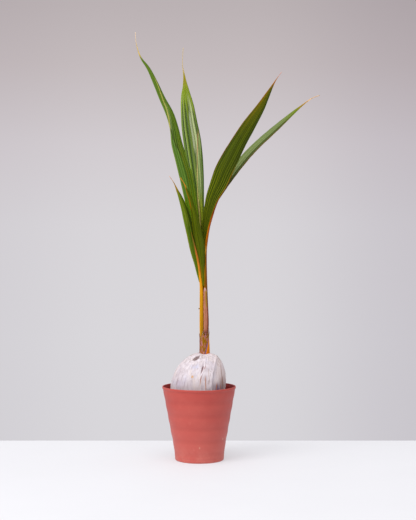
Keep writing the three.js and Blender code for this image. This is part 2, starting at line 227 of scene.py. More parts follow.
room = bpy.data.worlds.new("bright_room")
room.use_nodes = True
bpy.context.scene.world = room
walls = Finish("bright_room", room.node_tree)
direction = walls.node("ShaderNodeTexCoord", output="Generated")
sideways = walls.node("ShaderNodeSeparateXYZ", None, {0: direction}, 0)
steepness = walls.node("ShaderNodeSeparateXYZ", None, {0: direction}, 2)
wall_stops = [
    (0, 205, 203, 208),
    (0.46, 217, 215, 219),
    (0.51, 216, 213, 217),
    (0.545, 210, 204, 208),
    (0.578, 196, 187, 189),
    (0.605, 186, 177, 179),
    (0.68, 205, 203, 206),
    (1, 255, 255, 255),
]
wall_colour = walls.ramp(steepness * 0.5 + 0.5, wall_stops)
dimmer = sideways.rising(0.03, 0.19) * 0.9 + (1 - sideways.rising(-0.2, -0.08)) * 0.35
wall_colour = walls.mixed(dimmer, wall_colour, rgb(236, 234, 237), "MULTIPLY")
glow = walls.node("ShaderNodeBackground", None, {"Color": wall_colour, "Strength": 1})
walls.node("ShaderNodeOutputWorld", None, {"Surface": glow})


def add_lamp(name, place, target, width, power):
    light = bpy.data.lights.new(name, "AREA")
    light.shape = "DISK"
    light.size = width
    light.energy = power
    lamp = linked(name, light)
    lamp.location = place
    lamp.rotation_euler = (Vector(target) - Vector(place)).to_track_quat("-Z", "Y").to_euler()


add_lamp("soft_lamp", (-2.5, -2.5, 2.6), (0, 0, 0.5), 2.6, 92)
add_lamp("ceiling_lamp", (-0.2, -1.3, 3.4), (0, 0, 0.2), 3, 60)

# The camera stands three metres off, level with the middle of the palm, with a long lens.
camera_data = bpy.data.cameras.new("camera")
camera_data.lens = 79.6
camera_data.clip_end = 50
camera = linked("camera", camera_data)
camera.location = (0.0243, -3.121, 0.575)
camera.rotation_euler = (math.radians(90 - 0.6), 0, 0)
bpy.context.scene.camera = camera
bpy.context.scene.view_settings.view_transform = "Standard"


# ---- The pot ----
# A thin nursery pot moulded in terracotta-coloured plastic: a tapered wall with faint level waves,
# a rounded lip and drain holes. It carries everything else.

POT_LOW, POT_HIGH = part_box("pot")
POT_HEIGHT = (POT_HIGH.z - POT_LOW.z) / MM
RIM_RADIUS = (POT_HIGH.x - POT_LOW.x) / 2 / MM
WAIST_HEIGHT = 38
WAIST_RADIUS = 69.8
FOOT_RADIUS = 65.5
POT_WALL = 2.4
POT_FLOOR = 3
LIP_REACH = 0.5
LIP_HEIGHT = 7
WAVE_PITCH = 35
WAVE_START = 5
WAVE_DEPTH = 0.4
FOOT_SKEW = 1.2
DRAIN_COUNT, DRAIN_RADIUS, DRAIN_CIRCLE = 5, 5, 42
FOOT_ROUNDING = 3
LIP_ROUNDING = 1
INNER_FOOT = 61.6  # the inside wall's radius at the foot
INNER_TAPER = 0.1833  # and how much it grows with each millimetre of height


def pot_taper(z):
    if z < WAIST_HEIGHT:
        return FOOT_RADIUS + (WAIST_RADIUS - FOOT_RADIUS) * z / WAIST_HEIGHT
    share = (z - WAIST_HEIGHT) / (POT_HEIGHT - WAIST_HEIGHT)
    return WAIST_RADIUS + (RIM_RADIUS - LIP_REACH - WAIST_RADIUS) * share


def pot_outside(z):
    """The wall with its waves, which fade out under the lip and above the foot."""
    fade = min(1, (POT_HEIGHT - LIP_HEIGHT - z) / 6, (z + 2) / 6)
    wave = math.cos(2 * math.pi * (z - WAVE_START) / WAVE_PITCH)
    foot_line = -0.7 * math.exp(-((z - 9) / 1.1) ** 2)
    return pot_taper(z) + WAVE_DEPTH * max(fade, 0) * wave + foot_line


def arc(centre, radius, start, end, steps):
    """Points of a round edge, from a start to an end angle in degrees."""
    angles = np.radians(np.linspace(start, end, steps))
    return [(centre[0] + radius * math.cos(a), centre[1] + radius * math.sin(a)) for a in angles]


def pot_profile():
    """The wall's section from the middle of the underside, up the outside and down the inside."""
    points = [(r, 0) for r in np.linspace(0.5, pot_taper(0) - 4, 12)]
    foot_centre = (pot_outside(FOOT_ROUNDING) - FOOT_ROUNDING, FOOT_ROUNDING)
    points += arc(foot_centre, FOOT_ROUNDING, -80, 0, 6)
    points += [(pot_outside(z), z) for z in np.arange(4.5, POT_HEIGHT - LIP_HEIGHT - 1.5, 1.6)]
    top = POT_HEIGHT - LIP_ROUNDING
    lip_foot = POT_HEIGHT - LIP_HEIGHT
    points += [(pot_taper(lip_foot), lip_foot - 0.8), (pot_taper(lip_foot) + 0.1, lip_foot)]
    points += arc((RIM_RADIUS - 1.2, lip_foot + 2), 1.2, -40, 0, 4)
    points += arc((RIM_RADIUS - LIP_ROUNDING, top), LIP_ROUNDING, 0, 90, 6)
    inside = pot_taper(POT_HEIGHT) - POT_WALL
    points += arc((inside + LIP_ROUNDING, top), LIP_ROUNDING, 90, 180, 6)
    points += [(pot_outside(z) - POT_WALL, z) for z in np.arange(POT_HEIGHT - 6, POT_FLOOR + 3, -2.5)]
    points += [(r, POT_FLOOR) for r in np.linspace(pot_taper(POT_FLOOR) - POT_WALL - 3, 0.5, 10)]
    return points


def ring_faces(rings, sides):
    """The quads between rings of the same number of points."""
    faces = []
    for ring in range(rings - 1):
        for side in range(sides):
            a = ring * sides + side
            b = ring * sides + (side + 1) % sides
            faces.append((a, b, b + sides, a + sides))
    return faces


def tube_faces(rings, sides):
    """The same quads with both ends closed."""
    last = (rings - 1) * sides
    ends = [tuple(reversed(range(sides))), tuple(range(last, last + sides))]
    return ring_faces(rings, sides) + ends


def full_turn(sides):
    """The angles of a ring of that many points."""
    return [2 * math.pi * side / sides for side in range(sides)]


def revolve(profile, sides, shape):
    """A profile turned round the upright axis, each point moved by shape, closed at both poles."""
    vertices = []
    for radius, z in profile:
        for angle in full_turn(sides):
            r, lift = shape(radius, z, angle)
            vertices.append((r * math.cos(angle) * MM, r * math.sin(angle) * MM, lift * MM))
    return vertices, tube_faces(len(profile), sides)


def pot_warp(radius, z, angle):
    """Thin plastic is never quite true: the rim bows and dips, and the foot sits a little askew."""
    share = max(0, (z - 120) / (POT_HEIGHT - 120)) ** 2
    bow = 0.4 * share * math.sin(2 * angle + 0.6) - 0.4 * share
    front = math.exp(-((math.degrees(angle) - 285) / 26) ** 2)
    dip = 0.9 * front * max(0, (z - 186) / 14)
    skew = FOOT_SKEW * (1 - z / POT_HEIGHT) * math.cos(angle)
    return radius + (bow + skew) * min(radius / 60, 1), z - dip


def pot_finish():
    finish = Finish("pot_plastic")
    x, y, z = finish.axes()
    crest = ((z - WAVE_START) * (2 * math.pi / WAVE_PITCH)).cosine()
    cloud = finish.grain(14, 4, 0.6)
    worn = finish.grain(60, 5, 0.7, 0.35)
    finish.colour = finish.mixed(z.rising(10, 190), rgb(190, 84, 74), rgb(180, 66, 56))
    finish.lay(cloud.rising(0.35, 0.7) * 0.3, 196, 94, 82)
    rubbed = worn.rising(0.56, 0.8) * crest.rising(0.3, 1) * 0.35
    finish.lay(rubbed, 212, 122, 108)
    # Painted shade: the troughs of the wall's level waves are darkened as if in shade.
    painted_trough_shade = (1 - crest.rising(-1, -0.1)) * 0.12
    finish.lay(painted_trough_shade, 150, 50, 42)
    dust = (1 - z.rising(0, 60)) * finish.grain(36, 5, 0.7).rising(0.35, 0.75) * 0.4
    finish.lay(dust, 206, 130, 116)
    scuff = finish.grain(260, 2, 0.5, 9).rising(0.66, 0.74) * cloud.rising(0.4, 0.6) * 0.3
    finish.lay(scuff, 214, 130, 116)
    for centre in ((2, -71, 43), (64, -40, 62)):
        chalk = finish.spot(centre, (3, 9, 5), 0.1) * 0.5
        finish.lay(chalk, 206, 160, 136)
    side = x - (1 - z / POT_HEIGHT) * FOOT_SKEW
    wall = ((side * side + y * y) ** 0.5) - (z * INNER_TAPER + INNER_FOOT)
    inner = (1 - wall.rising(-0.4, 0.4)) * z.rising(24, 28)
    # Painted shade: the inside of the wall is painted a deeper, darker red, as the hollow of the pot looks
    # in shade.
    inside_painted_shade = finish.mixed(finish.grain(30, 4), rgb(164, 38, 32), rgb(136, 30, 26))
    finish.colour = finish.mixed(inner, finish.colour, inside_painted_shade)
    rough = worn * 0.2 + 0.36 + dust * 0.3
    height = finish.grain(420, 2, 0.5) * 0.25 + finish.grain(180, 1, 0.5, 6) * 0.4
    return finish.surface(rough, 0.5, height, 0.00012, 0.5)


def joined(shapes):
    """Vertices and faces of several small shapes as one mesh."""
    vertices, faces = [], []
    for corners, sides in shapes:
        faces += [tuple(len(vertices) + index for index in side) for side in sides]
        vertices += corners
    return vertices, faces


def cut_drain_holes(pot):
    """Drills the drain holes through the floor."""
    sides, beyond = 24, 4
    drills = []
    for turn in full_turn(DRAIN_COUNT):
        corners = []
        for z in (-beyond, POT_FLOOR + beyond):
            for angle in full_turn(sides):
                x = DRAIN_CIRCLE * math.cos(turn) + DRAIN_RADIUS * math.cos(angle)
                y = DRAIN_CIRCLE * math.sin(turn) + DRAIN_RADIUS * math.sin(angle)
                corners.append((x * MM, y * MM, z * MM))
        drills.append((corners, tube_faces(2, sides)))
    drill = add_object("drill", *joined(drills), pot.data.materials[0])
    cut = pot.modifiers.new("drain_holes", "BOOLEAN")
    cut.object = drill
    bpy.context.view_layer.objects.active = pot
    bpy.ops.object.modifier_apply(modifier=cut.name)
    bpy.data.objects.remove(drill)


pot = add_object("nursery_pot", *revolve(pot_profile(), 180, pot_warp), pot_finish())
cut_drain_holes(pot)
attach(pot, "root")
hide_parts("pot")


# ---- The potting soil ----
# Dark peaty mix with bark crumbs and white perlite, pressed in round the nut and sunk a
# finger's width below the lip so that water stays in.

SOIL_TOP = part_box("potting_soil")[1].z / MM


def soil_finish():
    finish = Finish("potting_soil")
    lump = finish.grain(160, 6, 0.7)
    finish.colour = finish.ramp(lump, [(0.25, 26, 18, 13), (0.5, 52, 37, 26), (0.75, 84, 62, 44)])
    return finish.surface(0.95, 0.2, lump, 0.003, 1)


def soil_shape(radius, z, angle):
    """A lumpy top; the sides and the underside stay true to the pot."""
    if z < SOIL_TOP - 1:
        return radius, z
    place = Vector((radius * math.cos(angle), radius * math.sin(angle), 0))
    lumps = 2.2 * noise.noise(place * 0.09) + 1.2 * noise.noise(place * 0.31)
    return radius, z - 2.4 + lumps


def soil_profile():
    wall = [(pot_outside(z) - POT_WALL - 0.4, z) for z in np.linspace(10, SOIL_TOP - 2, 24)]
    floor = [(r, POT_FLOOR + 0.4) for r in np.linspace(0.5, 56, 6)]
    top = [(r, SOIL_TOP) for r in np.linspace(wall[-1][0] - 0.6, 60, 30)]
    return floor + wall + top + [(40, SOIL_TOP - 10), (0.5, SOIL_TOP - 10)]


def pebble(place, size, dice):
    """Corners and faces of a small rough crumb round a place in millimetres."""
    corners = []
    for x, y, z in [(1, 0, 0), (0, 1, 0), (-1, 0, 0), (0, -1, 0), (0, 0, 1), (0, 0, -1)]:
        stretch = size * dice.uniform(0.6, 1.2)
        corners.append(tuple((p + stretch * d) * MM for p, d in zip(place, (x, y, z))))
    sides = [(0, 1, 4), (1, 2, 4), (2, 3, 4), (3, 0, 4), (1, 0, 5), (2, 1, 5), (3, 2, 5), (0, 3, 5)]
    return corners, sides


def scatter_crumbs(name, count, sizes, material, seed):
    """Crumbs strewn over the soil in the ring between the nut and the pot."""
    dice = random.Random(seed)
    pebbles = []
    for _ in range(count):
        angle = dice.uniform(0, 2 * math.pi)
        radius = dice.uniform(72, pot_outside(SOIL_TOP) - POT_WALL - 4)
        height = SOIL_TOP - 1.6 + dice.uniform(-0.6, 0.8)
        place = (radius * math.cos(angle), radius * math.sin(angle), height)
        pebbles.append(pebble(place, dice.uniform(*sizes), dice))
    return add_object(name, *joined(pebbles), material, smooth=False)


def speckled(name, first, second, specks, rough, pits, depth, strength):
    """Dry stuff in specks of two colours, with pits; specks and pits are grain scales."""
    finish = Finish(name)
    finish.colour = finish.mixed(finish.grain(specks), rgb(*first), rgb(*second))
    return finish.surface(rough, 0.5, finish.grain(pits), depth, strength)


white = speckled("perlite", (196, 190, 178), (226, 223, 217), 300, 0.9, 1500, 0.0004, 0.8)
soil = add_object("potting_mix", *revolve(soil_profile(), 150, soil_shape), soil_finish())
crumbs = scatter_crumbs("bark_crumbs", 420, (0.9, 2.4), soil.data.materials[0], 11)
perlite = scatter_crumbs("perlite_crumbs", 90, (0.7, 1.5), white, 12)
for piece in (soil, crumbs, perlite):
    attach(piece, "root")
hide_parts("potting_soil")


# ---- The coconut ----
# A whole nut in its husk, weathered grey-white, standing on end in the soil. Three blunt ridges
# run down it, the fibres show as upright streaks, and the shoot comes out through its crown.

NUT_RADIUS = 75.5
NUT_HEIGHT = 200
NUT_TOP = POT_HEIGHT + 92
NUT_FLATTENING = 0.95
NUT_RIDGE = 0.034
NUT_RIDGE_ANGLE = math.radians(-54)
NUT_OFFSET = -1
NUT_LEAN = 15
NUT_LEAN_POWER = 1.3
NUT_SQUARENESS = 2.25
FRONT_RIDGE = [(190, 34), (223, 35), (245, 38), (265, 43), (283, 48)]  # heights, and sideways places there
SCAR = (-7.5, 278, 27, 13.5, 4.6)  # middle sideways and up, slant in degrees, half length and half width
SPLIT = (9, 250, 72, 14, 2.2)


def bell(value, middle, reach):
    return math.exp(-((value - middle) / reach) ** 2)


def slanted(x, z, mark):
    """Distance from the middle of a slanted mark, 1 at its edge; numbers and sockets both do."""
    middle, height, slant, length, width = mark
    turn = math.radians(slant)
    along = ((x - middle) * math.cos(turn) + (z - height) * math.sin(turn)) / length
    off = ((z - height) * math.cos(turn) - (x - middle) * math.sin(turn)) / width
    return (along * along + off * off) ** 0.5


def nut_relief(x, y, z, angle):
    """Height of the husk's surface over its smooth form, in millimetres."""
    around = Vector((math.cos(angle) * 9, math.sin(angle) * 9, z * 0.02))
    fibres = 0.55 * noise.noise(around * 2.4) + 0.4 * noise.noise(around * 6 + Vector((7, 1, 3)))
    fibres += 0.25 * noise.noise(around * 15)
    dents = 1.4 * noise.noise(Vector((x, y, z)) * 0.024) + 0.7 * noise.noise(Vector((x, y, z)) * 0.07)
    relief = fibres + dents - 0.8
    relief -= 3.5 * bell(x, 14, 15) * bell(y, -17, 10) * min(1, max(0, (z - 268) / 10))
    if y < 0 and z > 180:
        ridge = np.interp(z, [row[0] for row in FRONT_RIDGE], [row[1] for row in FRONT_RIDGE])
        relief += 1.9 * bell(x, ridge, 3.2) - 1 * bell(x, ridge + 10, 6)
        scar = slanted(x, z, SCAR)
        relief += 1 * bell(scar, 1.15, 0.2) - 2.6 * bell(scar, 0, 0.7)
        split = slanted(x, z, SPLIT)
        relief += 1.2 * bell(split, 1.7, 0.5) - 2.4 * bell(split, 0, 0.7)
    return relief


def nut_point(climb, angle):
    """A point of the husk: climb runs from 0 at the bottom to pi at the crown."""
    reach = NUT_HEIGHT / 2
    rise = -math.copysign(abs(math.cos(climb)) ** (2 / NUT_SQUARENESS), math.cos(climb))
    radius = NUT_RADIUS * math.sin(climb) ** (2 / NUT_SQUARENESS)
    middle = NUT_OFFSET + NUT_LEAN * max(rise, 0) ** NUT_LEAN_POWER
    ridged = radius * (1 + NUT_RIDGE * math.cos(3 * (angle - NUT_RIDGE_ANGLE)))
    x = middle + ridged * math.cos(angle)
    y = NUT_FLATTENING * ridged * math.sin(angle)
    z = NUT_TOP - reach + reach * rise
    level = math.sin(climb)
    outward = Vector((math.cos(angle) * level, math.sin(angle) * level, -math.cos(climb)))
    return Vector((x, y, z)) + outward * nut_relief(x, y, z, angle)


def nut_mesh():
    rings, sides = 210, 400
    vertices = []
    for ring in range(rings):
        climb = math.pi * (0.01 + 0.98 * ring / (rings - 1))
        vertices += [nut_point(climb, angle) * MM for angle in full_turn(sides)]
    return vertices, tube_faces(rings, sides)


def husk_finish():
    finish = Finish("husk")
    x, y, z = finish.axes()
    front = 1 - y.rising(-30, -5)
    streaks = finish.grain(150, 5, 0.65, 0.1)
    fine = finish.grain(620, 3, 0.6, 0.07)
    cloud = finish.grain(26, 5, 0.6, 0.6)
    finish.colour = finish.mixed(streaks.rising(0.3, 0.68), rgb(182, 171, 176), rgb(216, 208, 212))
    cool = finish.grain(30, 3, 0.5, 0.7, 0.9).rising(0.52, 0.68)
    finish.lay(cool * 0.4, 196, 196, 212)
    finish.lay(cloud.rising(0.5, 0.75) * 0.55, 178, 164, 172)
    finish.lay(fine.rising(0.54, 0.76) * 0.45, 152, 134, 132)
    warm = finish.grain(40, 4, 0.6, 0.3, 0.4).rising(0.55, 0.7)
    finish.lay(warm * 0.4, 212, 194, 176)
    specks = finish.grain(360, 2, 0.5, 0.5).rising(0.66, 0.74)
    finish.lay(specks * 0.5, 142, 112, 100)
    # Painted light: the husk's right side, which the lamps leave in shade, is painted lighter.
    right = x.rising(34, 54)
    finish.lay(right * 0.5, 220, 204, 198)
    finish.lay(streaks.rising(0.5, 0.62) * right * 0.5, 172, 146, 138)
    damp = 1 - z.rising(178, 236)
    finish.lay(damp * streaks.rising(0.44, 0.64) * 0.5, 152, 128, 126)
    brown = streaks.rising(0.57, 0.7) * finish.grain(34, 3, 0.5, shift=0.3).rising(0.48, 0.64)
    finish.lay(brown * 0.8, 140, 104, 92)
    stains = [
        ((-60, 20, 225), (16, 22, 20), (158, 146, 140), 0.5),
        ((10, 62, 232), (22, 30, 26), (150, 128, 112), 0.55),
        ((52, -48, 200), (21, 50, 22), (126, 108, 132), 0.85),
        ((64, -40, 214), (14, 50, 28), (150, 116, 104), 0.7),
        ((-12, -60, 258), (17, 40, 9), (178, 180, 204), 0.7),
        ((-52, -40, 212), (22, 40, 18), (168, 154, 170), 0.6),
    ]
    for centre, radii, tint, strength in stains:
        ragged = finish.spot(centre, radii, 0) * streaks.rising(0.3, 0.6) * strength * 1.3
        finish.lay(ragged.clamped(), *tint)
    marks = [
        (SCAR, (112, 92, 92), 0.95),
        (SPLIT, (124, 84, 80), 0.8),
        ((16, 256, 68, 7, 1.6), (168, 122, 116), 0.7),
        ((4.5, 222, 82, 16, 1.3), (164, 98, 72), 0.8),
        ((18, 212, 92, 26, 1.7), (176, 120, 88), 0.8),
        ((27, 232, 95, 22, 1), (178, 150, 132), 0.6),
        ((60, 244, 96, 26, 1.2), (146, 112, 96), 0.7),
        ((47, 204, 84, 12, 1.5), (186, 112, 62), 0.8),
        ((58, 202, 98, 12, 1.4), (168, 100, 66), 0.75),
        ((-17.5, 232, 60, 4, 2.6), (206, 152, 74), 0.75),
        ((-38, 214, 80, 18, 1.6), (158, 138, 150), 0.6),
        ((-58, 218, 74, 16, 2), (150, 132, 138), 0.6),
    ]
    ragged = (streaks - 0.5) * 0.9
    for mark, tint, strength in marks:
        inside = 1 - (slanted(x, z, mark) + ragged).rising(0.55, 1.05)
        finish.lay(inside * front * strength, *tint)
    collar = finish.spot((14, 0, 292), (24, 22, 9), 0.4) * streaks.rising(0.3, 0.6)
    finish.lay(collar * 0.7, 104, 74, 58)
    return finish.surface(0.85, 0.25, fine * 0.5 + streaks * 0.7, 0.0012, 0.8)


def strand_tube(points, radius, sides=5):
    """Corners and faces of a thin fibre along points in millimetres, tapering to its end."""
    vertices = []
    for index, point in enumerate(points):
        ahead = points[min(index + 1, len(points) - 1)] - points[max(index - 1, 0)]
        across = ahead.orthogonal().normalized()
        other = ahead.cross(across).normalized()
        thick = radius * (1 - 0.8 * index / (len(points) - 1))
        for angle in full_turn(sides):
            offset = across * math.cos(angle) + other * math.sin(angle)
            vertices.append((point + offset * thick) * MM)
    return vertices, tube_faces(len(points), sides)


def join_strands(name, strands, material):
    return add_object(name, *joined([strand_tube(*strand) for strand in strands]), material)


def husk_fibres():
    """Loose coir hairs that have come away from the husk, most of them near its crown."""
    dice = random.Random(5)
    strands = []
    for _ in range(150):
        climb = math.pi * dice.choice([dice.uniform(0.78, 0.93), dice.uniform(0.6, 0.93)])
        angle = dice.uniform(0, 2 * math.pi)
        drift = dice.uniform(-0.03, 0.03)
        length = dice.uniform(0.03, 0.09)
        lift = dice.uniform(0.3, 1.6)
        points = []
        for step in range(7):
            share = step / 6
            point = nut_point(climb - length * share * math.pi, angle + drift * share * 2)
            outward = Vector((math.cos(angle), math.sin(angle), 0.4))
            points.append(point + outward * (0.15 + lift * share ** 2))
        strands.append((points, dice.uniform(0.14, 0.26)))
    return strands


nut = add_object("coconut", *nut_mesh(), husk_finish())
coir_skin = speckled("coir_hair", (144, 116, 90), (206, 194, 182), 90, 0.8, 2000, 0.0001, 0.5)
coir = join_strands("coir_hairs", husk_fibres(), coir_skin)
for piece in (nut, coir):
    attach(piece, "root")
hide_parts("coconut_husk")


# ---- The sheaths at the foot of the shoot ----
# Dry leaf bases that once wrapped the bud: a mottled fibrous tube torn off at the top, with loose
# hairs, and a thick orange pointed scale that clasps it on the right.

SHEATH_LOW, SHEATH_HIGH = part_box("fibre_sheath")
SHEATH_MIDDLE = ((SHEATH_LOW.x + SHEATH_HIGH.x) / 2 / MM, (SHEATH_LOW.y + SHEATH_HIGH.y) / 2 / MM)
SHEATH_HALF = ((SHEATH_HIGH.x - SHEATH_LOW.x) / 2 / MM, (SHEATH_HIGH.y - SHEATH_LOW.y) / 2 / MM)
SHEATH_FOOT = SHEATH_LOW.z / MM
SHEATH_HEIGHT = 69
SCALE_TIP = 57


def sheath_place(angle, out, z):
    """A point round the sheath: its angle, how far outside the sheath's face, and its height."""
    x = SHEATH_MIDDLE[0] + (SHEATH_HALF[0] + out) * math.cos(angle)
    y = SHEATH_MIDDLE[1] + (SHEATH_HALF[1] + out) * math.sin(angle)
    return Vector((x, y, SHEATH_FOOT + z)) * MM


def close_sheet(front, rear, columns, wrapped=False):
    """A thin closed sheet from its two sides, given row by row; wrapped, it runs round as a tube."""
    count = len(front)
    last = count - columns
    faces = []
    for start in range(0, last, columns):
        for column in range(columns if wrapped else columns - 1):
            a, b = start + column, start + (column + 1) % columns
            quad = (a, b, b + columns, a + columns)
            faces += [quad, tuple(count + index for index in reversed(quad))]
        if not wrapped:
            right = start + columns - 1
            faces.append((start, start + columns, count + start + columns, count + start))
            faces.append((right + columns, right, count + right, count + right + columns))
    for a in range(columns if wrapped else columns - 1):
        b = (a + 1) % columns
        faces.append((b, a, count + a, count + b))
        faces.append((last + a, last + b, count + last + b, count + last + a))
    return front + rear, faces


def fibre_sheath_mesh():
    """The torn tube: its outside, its ragged top edge and its inside."""
    sides, rings = 160, 44
    outside, inside = [], []
    for ring in range(rings):
        share = ring / (rings - 1)
        for angle in full_turn(sides):
            spin = Vector((math.cos(angle) * 3, math.sin(angle) * 3, 4))
            tear = 7 * noise.noise(spin) + 5 * noise.noise(spin * 3.1) + 3 * noise.noise(spin * 9)
            z = (SHEATH_HEIGHT - 5 + 2 * math.cos(angle) + tear) * share
            fibres = 0.5 * noise.noise(Vector((math.cos(angle) * 14, math.sin(angle) * 14, z * 0.04)))
            fibres += 0.8 * noise.noise(Vector((math.cos(angle) * 3, math.sin(angle) * 3, z * 0.05 + 5)))
            curl = 0.8 * max(0, share - 0.85) / 0.15
            outside.append(sheath_place(angle, fibres + 0.6 + curl, z))
            inside.append(sheath_place(angle, fibres - 0.3 + curl, z))
    return close_sheet(outside, inside, sides, wrapped=True)


def fibre_finish():
    finish = Finish("sheath_fibre")
    streaks = finish.grain(300, 4, 0.65, 0.12)
    cloud = finish.grain(190, 4, 0.65, 0.45, 0.37)
    x, _, z = finish.axes()
    stops = [(0.42, 134, 94, 4), (0.52, 146, 90, 16), (0.57, 184, 116, 108), (0.64, 104, 54, 72)]
    finish.colour = finish.ramp(cloud, stops)
    finish.lay((1 - z.rising(282, 306)) * 0.4, 178, 98, 84)
    finish.lay(streaks.rising(0.52, 0.7) * 0.5, 100, 54, 24)
    finish.lay((1 - x.rising(1.5, 5)) * 0.6, 122, 56, 26)
    pale = finish.grain(300, 3, 0.6, 0.3, 0.2).rising(0.58, 0.68)
    finish.lay(pale * 0.6, 206, 152, 144)
    return finish.surface(0.8, 0.08, streaks, 0.0012, 0.9)


def scale_mesh():
    """A pointed scale, thick in the middle and thin at its edges, over the sheath's right front."""
    columns, rings = 36, 44
    front, rear, height, places = [], [], [], []
    for ring in range(rings):
        share = ring / (rings - 1)
        left = math.radians(-93 + 70 * share ** 1.3)
        right = math.radians(18 - 38 * share ** 3)
        for column in range(columns):
            place = 2 * column / (columns - 1) - 1
            angle = (left + right) / 2 + (right - left) / 2 * place
            bulge = 2.9 * (1 - 0.8 * share) * (1 - abs(place) ** 2.4) + 0.9
            bulge += 0.14 * math.cos(place * 26) * (1 - share)
            z = (SCALE_TIP - 1) * share
            front.append(sheath_place(angle, bulge, z))
            rear.append(sheath_place(angle, -0.5, z))
            height.append(share)
            places.append(place)
    vertices, faces = close_sheet(front, rear, columns)
    return vertices, faces, {"along": height * 2, "across": places * 2}


def scale_finish():
    finish = Finish("orange_scale")
    along = finish.number("along")
    across = finish.number("across")
    streaks = finish.grain(380, 4, 0.6, 0.08)
    finish.colour = finish.mixed(along.rising(0, 0.8), rgb(206, 112, 0), rgb(218, 130, 6))
    finish.lay(across.rising(0.8, 1) * 0.6, 130, 68, 24)
    finish.lay(streaks.rising(0.5, 0.7) * 0.4, 150, 78, 16)
    finish.lay(1 - across.rising(-0.9, -0.62), 108, 84, 114)
    finish.lay(along.rising(0.94, 1) * 0.7, 120, 70, 44)
    return finish.surface(streaks * 0.2 + 0.4, 0.08, streaks, 0.0006, 0.7)


def torn_hairs():
    """Fibres that hang out of the sheath's torn top."""
    dice = random.Random(21)
    strands = []
    for _ in range(60):
        angle = dice.uniform(0, 2 * math.pi)
        start = dice.uniform(48, 66)
        length = dice.uniform(8, 20)
        lean = dice.uniform(-0.25, 0.25)
        out = dice.uniform(0.1, 1.6)
        points = []
        for t in np.linspace(0, 1, 7):
            points.append(sheath_place(angle + lean * t, 0.8 + out * t * t, start + length * t) / MM)
        strands.append((points, dice.uniform(0.12, 0.26)))
    return strands


fibre_sheath = add_object("torn_fibre_sheath", *fibre_sheath_mesh(), fibre_finish())
vertices, faces, attributes = scale_mesh()
scale = add_object("pointed_scale", vertices, faces, scale_finish(), attributes)
hairs = join_strands("torn_sheath_hairs", torn_hairs(), coir_skin)
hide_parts("fibre_sheath")
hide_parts("scale_sheath")
for piece, slot in ((fibre_sheath, "sheath_fibre"), (scale, "orange_scale"), (hairs, "sheath_fibre")):
    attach(piece, "root")


# ---- The short leaf, in front on the left ----
# The youngest split leaf: an amber stalk that thins to an orange rib, two pleated lobes joined
# along that rib, with tips dried to threads, and a dried nub low on the stalk's left.

SHOOT_FOOT = np.array((NUT_OFFSET + NUT_LEAN, 0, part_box("short_leaf_stalk")[0].z / MM))

# x, y, z of the middle, measured from the foot of the shoot, then half the width and half the depth
SHORT_STALK = [
    (-5.2, -3.6, 0, 3.6, 3.8), (-6.2, -4.8, 58, 4.3, 4), (-6.7, -5.8, 80, 4.9, 4.3),
    (-6.6, -6, 125, 5, 4.3), (-6.8, -6.2, 165, 4.5, 4), (-8, -6.5, 196, 3.5, 3.4),
    (-11, -8, 223, 2.9, 2.9), (-14.6, -9, 252, 2.5, 2.4), (-21, -11, 284, 2, 2),
    (-28, -13.5, 312, 1.4, 1.4), (-35, -17, 341, 0.8, 0.8),
]

# x, y, z of the middle, width, and the turn about that line in degrees
SHORT_LEFT_LOBE = [
    (-11, -7, 207, 6, 0), (-17, -8.5, 234, 9, 10), (-21, -9, 256, 12.5, 15), (-29, -11.5, 294, 20, 25),
    (-38, -16, 342, 24, 30), (-46, -22, 378, 24, 30), (-54, -27, 407, 19.5, 30), (-64, -33, 435, 12, 25),
    (-72, -37, 453, 6, 10), (-81, -41, 473, 2, 0), (-93, -46, 491, 1.5, 0),
]
SHORT_RIGHT_LOBE = [
    (-2.8, -9.5, 196, 4, 0), (-3, -9.2, 208, 7.5, 0), (-4, -8.8, 223, 10.5, 0), (-6, -8.8, 241, 14, -8),
    (-8.8, -10.5, 280, 22.6, -15), (-12.2, -13, 307, 28, -20), (-17.5, -18, 337, 26, -25),
    (-22.3, -24, 365, 22.5, -28), (-27, -30, 393, 18, -28), (-32, -34, 411, 13, -25),
    (-37, -39, 431, 10.5, -20), (-45, -43, 451, 7, -10), (-52, -47, 468, 2, 0), (-63, -52, 486, 1.5, 0),
]


def smooth_rows(rows, steps):
    """Rows of numbers run through by smooth curves, with that many steps from row to row."""
    table = np.array(rows, dtype=float)
    padded = np.vstack([2 * table[0] - table[1], table, 2 * table[-1] - table[-2]])
    out = []
    for index in range(len(table) - 1):
        a, b, c, d = padded[index:index + 4]
        for t in np.linspace(0, 1, steps, endpoint=False):
            slope_in, slope_out = (c - a) / 2, (d - b) / 2
            out.append((2 * t**3 - 3 * t**2 + 1) * b + (t**3 - 2 * t**2 + t) * slope_in
                       + (3 * t**2 - 2 * t**3) * c + (t**3 - t**2) * slope_out)
    return np.array(out + [table[-1]])


def stations(rows, steps):
    """Middle, across and depth directions, the other two numbers and the share of the height."""
    path = smooth_rows(rows, steps)
    along = np.gradient(path[:, :3], axis=0)
    along /= np.linalg.norm(along, axis=1, keepdims=True)
    across = np.cross([0, 1, 0], along)
    across /= np.linalg.norm(across, axis=1, keepdims=True)
    depth = np.cross(along, across)
    height = (path[:, 2] - path[0, 2]) / (path[-1, 2] - path[0, 2])
    return zip(path[:, :3] + SHOOT_FOOT, across, depth, path[:, 3], path[:, 4], height)


SKIN = 1  # how far the fibrous skin stands proud of a stalk's core
SKIN_START, SKIN_RAMP = SHEATH_HEIGHT - 12, 10  # it thickens from just under the sheath's torn top


